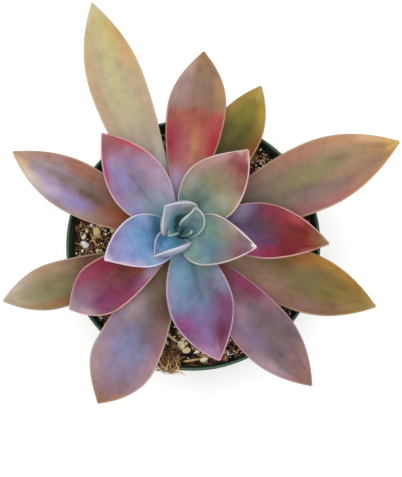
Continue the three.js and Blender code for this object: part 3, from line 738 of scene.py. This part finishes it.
def make_leaf(name, order):
    """One leaf from rings round its midrib. Each point knows its place along and across, how far it lies
    from the rim in millimetres, and its face: 0 on the upper one and 1 on the lower one."""
    leaf = SHAPES[name]
    handles = midrib(leaf, FIRST_NODE_HEIGHT + order * (NODE_SPACING - NODE_CLOSING * order))
    flat_side = bearing(leaf.azimuth + 90)
    points = []
    for i in range(LEAF_STEPS + 1):
        along = 1 - (1 - i / LEAF_STEPS) ** TIP_CROWDING
        centre, forward = curve_point(handles, along), curve_tangent(handles, along)
        side = (flat_side - forward * flat_side.dot(forward)).normalized()
        side = Matrix.Rotation(radians(leaf.roll * along), 3, forward) @ side
        up = forward.cross(side)
        half = leaf.width / 2 * leaf_outline(leaf, along)
        trough = radians(lerp(leaf.cup, leaf.cupTip, along))
        upper, lower = [], []
        for j in range(LEAF_STRIPS + 1):
            across = sin(pi / 2 * (2 * j / LEAF_STRIPS - 1))
            angle = trough * across
            outward = side * sin(angle) - up * cos(angle)
            out, rise = half * sin(angle) / trough, half * (1 - cos(angle)) / trough
            middle = centre + side * out + up * rise
            relief = leaf_relief(order, along, across, leaf.width)
            rim = (1 - abs(across)) * half
            upper.append((middle - outward * relief, along, across, rim, 0.0))
            lower.append((middle + outward * leaf_thickness(leaf, along, across), along, across, rim, 1.0))
        right = (upper[0][0] + lower[0][0]) / 2 - side * EDGE_BULGE
        left = (upper[-1][0] + lower[-1][0]) / 2 + side * EDGE_BULGE
        points += upper + [(left, along, 1.0, 0.0, 0.5)] + lower[::-1] + [(right, along, -1.0, 0.0, 0.5)]
    verts, along, across, rim, face = zip(*points)
    faces = flipped(ring_faces(LEAF_STEPS + 1, 2 * (LEAF_STRIPS + 2)))
    look = LOOKS[name]
    piece = make_piece("dressed_" + name, verts, faces, leaf_material(name, look, order),
                       along=along, across=across, rim=rim, face=face)
    finish_piece(piece, look["slot"], name)


# Pot

def pot_profile():
    """The pot's section from the middle of its underside, up outside, over the rim and down inside."""
    points = [(0, 0), (DRAIN_CIRCLE_RADIUS + 6, 0), (BASE_RADIUS - BASE_ROUNDING, 0)]
    for k in range(1, 5):
        turn = pi / 2 * k / 5
        inset, rise = BASE_ROUNDING * (1 - sin(turn)), BASE_ROUNDING * (1 - cos(turn))
        points.append((BASE_RADIUS - inset, rise))
    points += [(BASE_RADIUS, BASE_ROUNDING), (SHOULDER_RADIUS, BAND_FOOT),
               (RIM_RADIUS - BAND_DRAFT - BAND_CHAMFER, BAND_FOOT),
               (RIM_RADIUS - BAND_DRAFT, BAND_FOOT + BAND_CHAMFER)]
    for k in range(7):
        turn = pi * k / 6
        points.append((RIM_RADIUS - RIM_LIP / 2 + RIM_ROUNDING * cos(turn),
                       POT_HEIGHT - RIM_ROUNDING * (1 - sin(turn))))
    points += [(RIM_INSIDE - BAND_DRAFT / 2, BAND_FOOT + BAND_STEP), (SHOULDER_INSIDE, BAND_FOOT - BAND_STEP),
               (BASE_RADIUS - WALL, BASE_THICKNESS + BASE_FILLET),
               (BASE_RADIUS - WALL - BASE_FILLET, BASE_THICKNESS), (0, BASE_THICKNESS)]
    return points


def make_pot():
    verts, faces = lathe(pot_profile(), POT_SEGMENTS)
    pot = make_piece("dressed_pot", verts, faces, pot_material())
    drill = [(0, -DRILL_REACH), (DRAIN_HOLE_RADIUS, -DRILL_REACH), (DRAIN_HOLE_RADIUS, DRILL_REACH),
             (0, DRILL_REACH)]
    verts, faces = lathe(drill, DRILL_SEGMENTS)
    drills = Heap()
    for k in range(DRAIN_HOLES):
        place = bearing(360 * k / DRAIN_HOLES) * DRAIN_CIRCLE_RADIUS
        drills.add([Vector(v) + place for v in verts], faces, 0)
    cutter = drills.piece("drills", pot.data.materials[0], False)
    cut = pot.modifiers.new("drain_holes", "BOOLEAN")
    cut.object, cut.operation, cut.solver = cutter, "DIFFERENCE", "EXACT"
    apply_modifiers(pot)
    bpy.data.objects.remove(cutter)
    # Masks for the painted highlight on the rim's top and the painted shade on the inner wall and floor.
    inside, crown = [], []
    for vert in pot.data.vertices:
        radius, height = hypot(vert.co.x, vert.co.y) / MM, vert.co.z / MM
        inside.append(height > 1 and radius < inner_radius(height) + 0.2)
        crown.append(height > POT_HEIGHT - RIM_ROUNDING * 0.7 and radius > RIM_RADIUS - RIM_LIP * 0.7)
    set_values(pot.data, dict(inside=inside, crown=crown))
    sharpen(pot, SHARP_ANGLE)
    finish_piece(pot, "pot_plastic", "pot")


def apply_modifiers(piece):
    graph = bpy.context.evaluated_depsgraph_get()
    mesh = bpy.data.meshes.new_from_object(piece.evaluated_get(graph))
    piece.modifiers.clear()
    piece.data = mesh


def sharpen(piece, angle):
    """Smooth shading, with edges over an angle kept sharp."""
    form = bmesh.new()
    form.from_mesh(piece.data)
    for face in form.faces:
        face.smooth = True
    for edge in form.edges:
        edge.smooth = len(edge.link_faces) == 2 and edge.calc_face_angle() < radians(angle)
    form.to_mesh(piece.data)
    form.free()


# Potting mix

def make_random(seed):
    """The same seeded generator as the part's source, so that each lump is where its solid is."""
    state = seed
    while True:
        state = (state * 1664525 + 1013904223) % 4294967296
        yield state / 4294967296


def inner_radius(height):
    if height >= BAND_FOOT:
        return RIM_INSIDE
    return lerp(BASE_RADIUS, SHOULDER_RADIUS, height / BAND_FOOT) - WALL


def step_radius(height):
    """Inner radius on the sloped step between the tapered wall and the rim's band."""
    share = (height - (BAND_FOOT - BAND_STEP)) / (2 * BAND_STEP)
    return lerp(SHOULDER_INSIDE, RIM_INSIDE - BAND_DRAFT / 2, share)


def mix_top(x, y):
    from_stem = hypot(x - STEM_X, y - STEM_Y)
    mound = MIX_MOUND * exp(-((from_stem / MIX_MOUND_RADIUS) ** 2))
    waves = (sin(0.21 * x + 0.13 * y + 1) + sin(0.17 * y - 0.26 * x + 2.3)
             + 0.7 * sin(0.47 * x + 0.2) * sin(0.43 * y + 1.7))
    return MIX_HEIGHT + mound + MIX_WAVE * waves


def crumb_height(x, y):
    """Fine relief of the peat: crumbs at three sizes."""
    coarse = noise.voronoi(Vector((x / 3.1, y / 3.1, 0.3)))[0][0]
    middle = noise.voronoi(Vector((x / 1.5, y / 1.5, 4.1)))[0][0]
    fine = ripple(x / 0.7, y / 0.7, 9.2)
    return 1.1 * (0.5 - coarse) + 0.7 * (0.4 - middle) + 0.22 * fine


def bank_height(x, y):
    """The mix's top with the bank that leans on the pot's wall."""
    shore = (step_radius(EDGE_HEIGHT) - MIX_SEAT - hypot(x, y)) / BANK_WIDTH
    return lerp(EDGE_HEIGHT, mix_top(x, y), max(min(shore, 1), 0))


def make_mix_surface(material):
    """The peat's skin: a crumbled top, an edge on the wall's step, and plain walls under it."""
    edge = step_radius(EDGE_HEIGHT) - MIX_SEAT
    points = [(edge * ring / MIX_RINGS, mix_top(0, 0)) for ring in range(MIX_RINGS + 1)]
    points += [(SHOULDER_INSIDE - GAP, BAND_FOOT - BAND_STEP - GAP),
               (inner_radius(BASE_THICKNESS) - GAP - BASE_FILLET, BASE_THICKNESS + GAP),
               (0, BASE_THICKNESS + GAP)]
    verts, faces = lathe(points, MIX_SEGMENTS)
    tones = [PEAT_TONE] * len(verts)
    for i in range(1, MIX_RINGS * MIX_SEGMENTS + 1):
        x, y, _ = verts[i]
        crumbs = crumb_height(x, y)
        patch = ripple(x / 5, y / 5, 2.0)
        verts[i] = (x, y, bank_height(x, y) + crumbs * max(min(edge - hypot(x, y), 1), 0))
        # The tone follows the crumbs' height, so the hollows between crumbs are darker: painted shade. The
        # patch noise is the peat's own uneven tone.
        tones[i] = min(max(0.38 + 0.45 * crumbs + 0.35 * patch, 0), 1)
    return make_piece("mix_surface", verts, flipped(faces), material, tone=tones)


@functools.cache
def lump_shape(subdivisions, kind):
    """A broken lump of radius 1: a ball that planes cut, each kind by planes of its own."""
    chance = np.random.default_rng(kind)
    form = bmesh.new()
    bmesh.ops.create_icosphere(form, subdivisions=subdivisions, radius=1)
    reach = np.ones(len(form.verts))
    points = np.array([vert.co for vert in form.verts])
    for normal, depth in zip(chance.normal(size=(LUMP_CUTS, 3)), chance.uniform(0.5, 0.95, LUMP_CUTS)):
        lean = points @ (normal / np.linalg.norm(normal))
        reach = np.minimum(reach, np.where(lean > depth, depth / np.maximum(lean, depth), 1))
    verts = [Vector(point) for point in points * reach[:, None]]
    faces = [tuple(vert.index for vert in face.verts) for face in form.faces]
    form.free()
    return verts, faces


def chip_shape(length, width, thickness, seed, curl=0.15):
    """A splinter of bark or a fibre: a bar bent by curl radians, with uneven edges and broken ends."""
    stations, corners = 7, 6
    verts = []
    for i in range(stations):
        t = i / (stations - 1) * 2 - 1
        angle = curl * t / 2
        middle = Vector((sin(angle), 1 - cos(angle), 0)) * (length / curl)
        aside = Vector((-sin(angle), cos(angle), 0))
        shrink = 1 - 0.4 * abs(t) ** 3
        for k in range(corners):
            turn = 2 * pi * (k + 0.5) / corners
            rough = shrink * (1 + 0.3 * ripple(t * 2.3, k * 1.7, seed))
            ragged = 0.08 * length * abs(t) * ripple(k * 2.1, seed, t)
            verts.append(middle + aside * (cos(turn) * width / 2 * rough)
                         + Vector((ragged, 0, sin(turn) * thickness / 2 * rough)))
    return verts, ring_faces(stations, corners)


def root_shape(handles, radius):
    """A loose root: a round strand along a curve, thinner at both ends."""
    stations, corners = 14, 5
    reference = bearing(ROOTS_AZIMUTH + 90)
    verts = []
    for i in range(stations):
        t = i / (stations - 1)
        forward = curve_tangent(handles, t)
        aside = forward.cross(reference).normalized()
        upward = forward.cross(aside)
        thick = radius * (1 - 0.6 * abs(2 * t - 1) ** 4)
        for k in range(corners):
            turn = 2 * pi * k / corners
            away = aside * cos(turn) + upward * sin(turn)
            verts.append(curve_point(handles, t) + away * thick)
    return verts, ring_faces(stations, corners)


def root_handles(scatter):
    """A root's way from the mix up over the rim and down outside."""
    azimuth = ROOTS_AZIMUTH + scatter.uniform(-ROOTS_SPREAD, ROOTS_SPREAD)
    handles = []
    for radii, heights, spread in ROOT_WAY:
        place = bearing(azimuth + scatter.uniform(-spread, spread)) * scatter.uniform(*radii)
        handles.append(place + Vector((0, 0, scatter.uniform(*heights))))
    return handles


def stretched(verts, x, y, z):
    """The points with each coordinate multiplied by its own factor."""
    return [Vector((v.x * x, v.y * y, v.z * z)) for v in verts]


def placed(verts, x, y, height, turn, tilt_x=0.0, tilt_y=0.0):
    """The points turned and tilted by radians, and then moved."""
    spin = Matrix.Rotation(tilt_y, 3, "Y") @ Matrix.Rotation(tilt_x, 3, "X") @ Matrix.Rotation(turn, 3, "Z")
    return [spin @ v + Vector((x, y, height)) for v in verts]


def draw_place(random):
    """Where a loose piece lies and how it is turned, drawn in the same order as in the part's source."""
    azimuth = 360 * next(random)
    farthest = inner_radius(MIX_HEIGHT) - LUMP_FROM_WALL
    place = bearing(azimuth) * lerp(LUMP_FROM_AXIS, farthest, sqrt(next(random)))
    turn = 2 * pi * next(random)
    tilt_x, tilt_y = LUMP_TILT * (next(random) - 0.5), LUMP_TILT * (next(random) - 0.5)
    return place.x, place.y, turn, tilt_x, tilt_y


def scatter_place(scatter, farthest):
    place = bearing(scatter.uniform(0, 360)) * farthest * sqrt(scatter.uniform(0.02, 1))
    return place.x, place.y


def greyness(x, y):
    """How grey a loose piece is, a painted fall of light: from 0 at the left and the front, where light falls
    in, to 1 at the back right.
    """
    return min(max((x + y - GREY_FROM) / GREY_REACH, 0.0), 1.0)


def dulled(tone, x, y):
    """A tone of bark, brought down where the loose pieces are grey: painted shade towards the back right."""
    return tone * (1 - GREY_LOSS * greyness(x, y))


# Pieces that show between the leaves: place, length, width, tone; then for chips the azimuth and the curl
SHOWN_PERLITE = [
    (-47.6, 0.8, 3.9, 4.1, 0.9), (-48, 4.2, 2.3, 2.4, 0.45), (-42.3, 6, 3.2, 4.1, 0.12),
    (-40.3, 9.2, 2.8, 2, 0.05), (-44.7, 9.1, 1.6, 1.8, 1), (-35.1, 7, 2.5, 2.7, 0.12),
    (-49, 8, 1.2, 1.6, 0.8), (-46.6, 6.9, 1.2, 2, 0.2), (-38.4, 6.8, 0.9, 1.1, 0.7),
    (-38.3, 5.3, 0.9, 0.9, 0.8), (-48.2, -2.3, 1.4, 1.7, 0.7), (-49.3, -4.1, 1.3, 1.3, 0.8),
    (-48.7, -6.6, 1.5, 1.4, 0.5), (-41.8, -1.9, 1.4, 2.2, 0.2), (-3.2, -45, 3.4, 2.5, 0.25),
    (-2.8, -42.2, 1.3, 1.6, 0.45), (1.7, -45.6, 2.1, 1.4, 0.6), (4.4, -49, 3.6, 2.5, 0.6),
    (-6, -37.6, 0.8, 1.7, 1), (-4.7, -40.2, 1.5, 1.2, 0.7), (-6.7, -47.9, 1.2, 2.4, 0.5),
    (15.4, -40.7, 1.2, 1.4, 0.9), (14.6, -46.4, 1.3, 2.6, 0.9), (16.3, -46.7, 2.4, 1.2, 0.9),
    (31, 40, 1.1, 1.1, 1), (34.1, 36.4, 1.2, 1.2, 1), (30, 37.5, 0.9, 0.9, 0.9), (29.2, 36.2, 1.2, 0.9, 0.6),
    (31.1, 38.6, 0.8, 1.4, 0.6), (27, 33.5, 0.8, 0.6, 0.3), (46, 13.5, 1.3, 1.1, 0.4),
    (47.6, 10.6, 1.2, 1.1, 0.35), (34, 37.7, 1.2, 1, 0.85), (32.3, 40.8, 0.8, 0.8, 0.7),
    (33.7, 40.2, 0.8, 0.9, 0.6), (30.6, 38.1, 1, 0.8, 0.8), (29.2, 39.3, 0.8, 0.7, 0.6),
    (31.8, 38.3, 0.7, 1.1, 0.9), (30.3, 35.3, 0.9, 0.8, 0.75), (28.6, 34.3, 0.8, 0.7, 0.6),
    (28, 37, 0.7, 0.8, 0.7), (35, 36.5, 0.8, 0.7, 0.6), (29.3, 32.8, 0.7, 0.7, 0.65),
    (32.7, 36.4, 0.8, 0.9, 0.8), (27.2, 35.3, 0.7, 0.8, 0.7), (31.1, 36.6, 0.9, 0.7, 0.75),
]
SHOWN_BARK = [
    (-9.4, -39.6, 6.4, 1.4, 0.82, -39, 0.15), (-1, -49.4, 7.6, 1.1, 0.75, 8, 0.1),
    (5.4, -47.7, 5.4, 0.8, 0.55, -4, 0.2), (-43.6, 2.8, 6.4, 1.1, 0.6, -64, 0.3),
    (-49.2, 9.4, 5.6, 1.2, 0.45, 84, 0.2), (-45, -1, 4.4, 3, 0.12, 70, 0.2), (-47, -8, 4, 2, 0.35, 80, 0.3),
    (16.4, -43.7, 4, 0.8, 0.3, -20, 0.3), (-14, -46.5, 5, 0.6, 0.6, 40, 1.2),
    (-12.5, -44, 5, 0.5, 0.5, 12, 1.4), (-10, -49, 6, 0.5, 0.7, -30, 1),
    (19.5, -44.8, 2.4, 1.2, 0.7, 30, 0.2),
]


def lay_lumps(perlite, bark):
    """The lumps and chips of the part's own solid."""
    random = make_random(SEED)
    for i in range(PERLITE_LUMPS):
        size = PERLITE_RADIUS + PERLITE_EXTRA * next(random) ** 2
        stretch = 0.7 + 0.5 * next(random)
        x, y, turn, tilt_x, tilt_y = draw_place(random)
        verts, faces = lump_shape(FINE, i)
        verts = stretched(verts, size, size * stretch, size * 0.75)
        tone = max(0.55 + 0.45 * ripple(i * 1.3, 0.2, 0), greyness(x, y))
        perlite.add(placed(verts, x, y, mix_top(x, y) - PERLITE_SINK, turn, tilt_x, tilt_y), faces, tone)
    for i in range(BARK_CHIPS):
        length = BARK_LENGTH + BARK_EXTRA * next(random)
        width = BARK_WIDTH * (1 + next(random))
        x, y, turn, tilt_x, tilt_y = draw_place(random)
        verts, faces = chip_shape(length, width, BARK_THICKNESS, i * 2.9)
        tone = dulled(0.45 + 0.5 * ripple(i * 1.9, 3.2, 0), x, y)
        bark.add(placed(verts, x, y, mix_top(x, y), turn, tilt_x, tilt_y), faces, tone)


def lay_shown(perlite, bark):
    for i, (x, y, length, width, tone) in enumerate(SHOWN_PERLITE):
        verts, faces = lump_shape(FINE, SHOWN_KIND + i)
        depth = min(length, width)
        verts = stretched(verts, SHOWN_SCALE * length, SHOWN_SCALE * width, SHOWN_SCALE * depth)
        perlite.add(placed(verts, x, y, mix_top(x, y) + SHOWN_LIFT * depth, 0), faces, tone)
    for i, (x, y, length, width, tone, azimuth, curl) in enumerate(SHOWN_BARK):
        verts, faces = chip_shape(length, width, CHIP_DEPTH * min(width, WIDEST_CHIP), 90 + i * 2.3, curl)
        bark.add(placed(verts, x, y, mix_top(x, y) + CHIP_LIFT, radians(azimuth)), faces, tone)


def scatter_loose(perlite, crumbs, fibres):
    """Small perlite, crumbs of peat, fibres and the loose roots, all by one seeded generator."""
    scatter = np.random.default_rng(SEED)
    draw = scatter.uniform
    farthest = step_radius(EDGE_HEIGHT) - SCATTER_FROM_WALL
    for i in range(SMALL_PERLITE):
        x, y = scatter_place(scatter, farthest)
        size = draw(*SMALL_PERLITE_RADII)
        verts, faces = lump_shape(COARSE, i % KINDS)
        height = bank_height(x, y) + draw(*SMALL_PERLITE_LIFTS)
        verts = placed(stretched(verts, size, size, size), x, y, height, draw(*TURNS))
        perlite.add(verts, faces, max(draw(0, 1), greyness(x, y)))
    for i in range(CRUMBS):
        x, y = scatter_place(scatter, farthest)
        size = draw(*CRUMB_RADII)
        verts, faces = lump_shape(COARSE, KINDS + i % KINDS)
        verts = stretched(verts, size, size * 0.8, size * 0.6)
        height = bank_height(x, y) + draw(*CRUMB_LIFTS)
        verts = placed(verts, x, y, height, draw(*TURNS), draw(*CRUMB_TILTS))
        crumbs.add(verts, faces, draw(0, 1) + 0.25 * greyness(x, y))
    for i in range(FIBRES):
        x, y = scatter_place(scatter, farthest - 1.5)
        length, width, depth = draw(*FIBRE_LENGTHS), draw(*FIBRE_WIDTHS), draw(*FIBRE_DEPTHS)
        verts, faces = chip_shape(length, width, depth, i * 1.3, draw(*FIBRE_CURLS))
        height = bank_height(x, y) + draw(*FIBRE_LIFTS)
        verts = placed(verts, x, y, height, draw(*TURNS), draw(*FIBRE_TILTS), draw(*FIBRE_TILTS))
        fibres.add(verts, faces, dulled(draw(0, 0.6), x, y))
    for _ in range(ROOTS):
        verts, faces = root_shape(root_handles(scatter), draw(*ROOT_RADII))
        fibres.add(verts, faces, draw(0, 0.72))


def make_mix():
    perlite, bark, crumbs, fibres = Heap(), Heap(), Heap(), Heap()
    lay_lumps(perlite, bark)
    lay_shown(perlite, bark)
    scatter_loose(perlite, crumbs, fibres)
    peat = mix_material(
        "peat", [(0.1, "0c0604"), (0.3, "2c1a12"), (0.5, "5c3e2c"), (0.7, "9c785a"), (0.9, "caa278")],
        scale=900, rough=0.9, speckle=1.1)
    white = mix_material(
        "perlite", [(0, "dccc84"), (0.25, "f0e0b0"), (0.5, "f8eccc"), (0.75, "fffaf0"), (1, "ffffff")],
        scale=1400, rough=0.85, speckle=0.4, shadow=0.92)
    wood = mix_material(
        "bark", [(0.05, "583426"), (0.3, "865c3e"), (0.5, "ae8656"), (0.75, "deb87c"), (1, "f8dca8")],
        scale=1100, rough=0.8, speckle=0.8)
    for piece in (make_mix_surface(peat), crumbs.piece("mix_crumbs", peat, False),
                  perlite.piece("mix_perlite", white, False), bark.piece("mix_bark", wood),
                  fibres.piece("mix_fibres", wood)):
        finish_piece(piece, "potting_mix", "potting_mix")


def make_stem():
    points = [(0, STEM_PROFILE[0][1])]
    for (r0, h0), (r1, h1) in zip(STEM_PROFILE, STEM_PROFILE[1:]):
        for k in range(STEM_STEPS):
            points.append((lerp(r0, r1, k / STEM_STEPS), lerp(h0, h1, k / STEM_STEPS)))
    points += [STEM_PROFILE[-1], (0, STEM_TOP)]
    verts, faces = lathe(points, STEM_SEGMENTS)
    rough = []
    for x, y, height in verts:
        bulge = 1 + 0.05 * ripple(x / 2, y / 2, height / 1.6)
        rough.append((x * bulge + STEM_X, y * bulge + STEM_Y, height))
    finish_piece(make_piece("dressed_stem", rough, faces, stem_material()), "stem_skin", "stem")


# Room and light in metres, and the camera in millimetres

FLOOR_SIZE = 6.0
WORLD_STRENGTH = 0.8
LIGHT_PLACE = Vector((0.02, -0.08, 1.3))
LIGHT_TARGET = Vector((0, 0, 0.09))
LIGHT_SIZE = 1.0
LIGHT_POWER = 13.5
LIGHT_COLOUR = (1.0, 0.99, 0.97)
VIEW_TILT = 9
VIEW_TOWARD = -75
VIEW_DISTANCE = 450
VIEW_TARGET = Vector((0, 0, POT_HEIGHT))
TARGET_PIXEL = (192.6, 242.4)
IMAGE_SIZE = (402, 477)
RIM_MM_PER_PIXEL = 0.4235
SENSOR_MM = 36


def make_stage():
    s = Shader("paper_floor")
    colour = s.ramp(s.noise(s.place(), 3, 2.0), [(0.3, "fafaf9"), (0.7, "fcfcfb")])
    s.feed(s.surface, {"Base Color": colour, "Roughness": 0.8, "Specular IOR Level": 0.2})
    mesh = bpy.data.meshes.new("floor")
    r = FLOOR_SIZE / 2
    mesh.from_pydata([(-r, -r, 0), (r, -r, 0), (r, r, 0), (-r, r, 0)], [], [(0, 1, 2, 3)])
    mesh.materials.append(s.material)
    floor = make_object("floor", mesh)


def make_lights():
    world = bpy.data.worlds.new("studio")
    world.use_nodes = True
    background = world.node_tree.nodes["Background"]
    background.inputs["Color"].default_value = (1.0, 1.0, 1.0, 1.0)
    background.inputs["Strength"].default_value = WORLD_STRENGTH
    bpy.context.scene.world = world
    light = bpy.data.lights.new("key_light", "AREA")
    light.shape, light.size, light.energy, light.color = "SQUARE", LIGHT_SIZE, LIGHT_POWER, LIGHT_COLOUR
    turn = (LIGHT_TARGET - LIGHT_PLACE).to_track_quat("-Z", "Y").to_matrix().to_4x4()
    make_object("key_light", light).matrix_world = Matrix.Translation(LIGHT_PLACE) @ turn


def make_camera():
    """Looks down at the rim's centre, which falls on TARGET_PIXEL of the photograph."""
    back = bearing(VIEW_TOWARD, 90 - VIEW_TILT)
    north = Vector((0, 1, 0))
    up = (north - back * north.dot(back)).normalized()
    right = up.cross(back)
    focal = VIEW_DISTANCE / RIM_MM_PER_PIXEL
    aside = (TARGET_PIXEL[0] - IMAGE_SIZE[0] / 2) * VIEW_DISTANCE / focal
    above = -(TARGET_PIXEL[1] - IMAGE_SIZE[1] / 2) * VIEW_DISTANCE / focal
    place = VIEW_TARGET + back * VIEW_DISTANCE - right * aside - up * above
    data = bpy.data.cameras.new("camera")
    data.sensor_width = SENSOR_MM
    data.lens = focal * SENSOR_MM / max(IMAGE_SIZE)
    data.clip_start = 0.01
    camera = make_object("camera", data)
    turn = Matrix((right, up, back)).transposed().to_4x4()
    camera.matrix_world = Matrix.Translation(place * MM) @ turn
    bpy.context.scene.camera = camera


make_camera()
make_stage()
make_lights()
make_pot()
make_mix()
make_stem()
for order, name in enumerate(SHAPES):
    make_leaf(name, order)

bpy.context.scene.view_settings.view_transform = "Standard"
